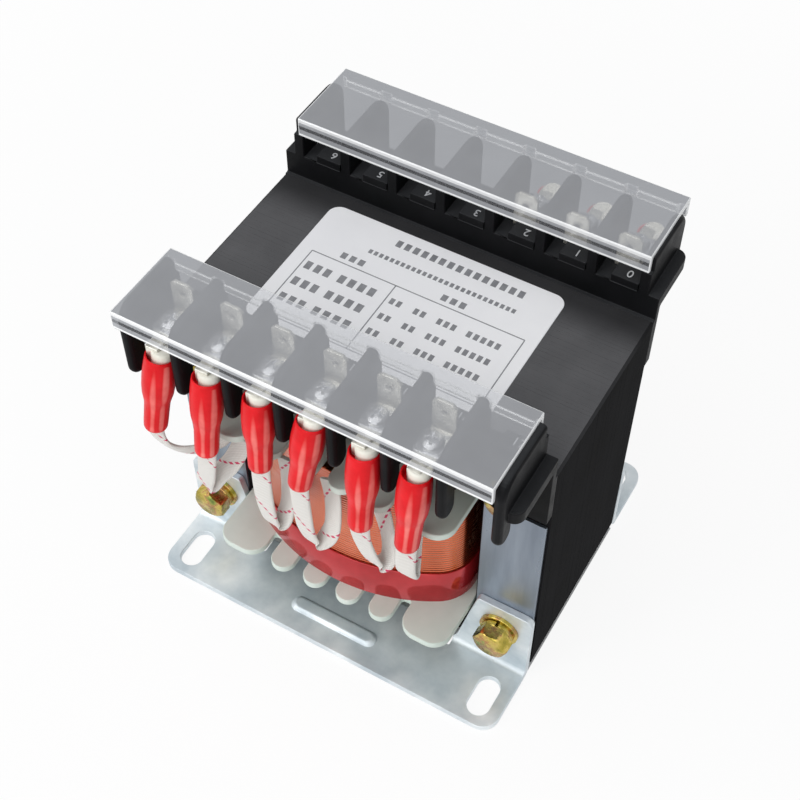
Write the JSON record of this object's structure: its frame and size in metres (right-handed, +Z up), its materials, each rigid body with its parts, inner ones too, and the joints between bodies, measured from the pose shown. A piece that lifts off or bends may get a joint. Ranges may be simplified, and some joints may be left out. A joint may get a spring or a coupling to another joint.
{
  "type": "control transformer",
  "caption": "Open-frame control transformer: laminated core, wound coil, two screw terminal rows under clear covers and slotted feet.",
  "frame": {"origin": "centre of the footprint on the plane under both feet", "axes": "+Z up through the core, X along both terminal rows, -Y towards the row that the picture shows in front"},
  "size_m": [0.096, 0.0973, 0.1001],
  "materials": {
    "core_steel": "satin black varnish over stacked sheet edges",
    "clear_zinc": "bluish bright zinc",
    "bare_steel": "dull rolled sheet",
    "nylon": "light grey moulded plastic",
    "black_moulding": "fine-grained black moulded plastic",
    "copper": "enamelled copper under clear varnish",
    "wrap_paper": "insulating paper",
    "red_film": "glossy red film",
    "clear_plastic": "clear with a milky haze",
    "yellow_zinc": "yellow zinc",
    "label_film": "white satin film",
    "tin": "dull tin plate",
    "red_vinyl": "soft glossy vinyl",
    "woven_sleeve": "white woven sleeve"
  },
  "bodies": {
    "root": {"coil_former": "nylon", "core_laminations": "core_steel", "flat_washers": "yellow_zinc", "front_contact_plates": "tin", "front_cover": "clear_plastic", "front_crimp_lugs": "tin", "front_foot_bracket": "clear_zinc", "front_lead_sleeve_1": "woven_sleeve", "front_lead_sleeve_2": "woven_sleeve", "front_lead_sleeve_3": "woven_sleeve", "front_lead_sleeve_4": "woven_sleeve", "front_lead_sleeve_5": "woven_sleeve", "front_lead_sleeve_6": "woven_sleeve", "front_left_strip": "bare_steel", "front_red_boots": "red_vinyl", "front_right_strip": "bare_steel", "front_square_washers": "clear_zinc", "front_terminal_block": "black_moulding", "front_terminal_screws": "clear_zinc", "hex_nuts": "yellow_zinc", "label_plate": "label_film", "primary_winding": "copper", "rear_contact_plates": "tin", "rear_cover": "clear_plastic", "rear_crimp_lugs": "tin", "rear_foot_bracket": "clear_zinc", "rear_lead_sleeve_1": "woven_sleeve", "rear_lead_sleeve_2": "woven_sleeve", "rear_lead_sleeve_3": "woven_sleeve", "rear_left_strip": "bare_steel", "rear_red_boots": "red_vinyl", "rear_right_strip": "bare_steel", "rear_square_washers": "clear_zinc", "rear_terminal_block": "black_moulding", "rear_terminal_screws": "clear_zinc", "red_film_collar": "red_film", "secondary_winding": "copper", "spring_washers": "yellow_zinc", "through_bolts": "yellow_zinc", "winding_wrap": "wrap_paper"}
  },
  "joints": []
}
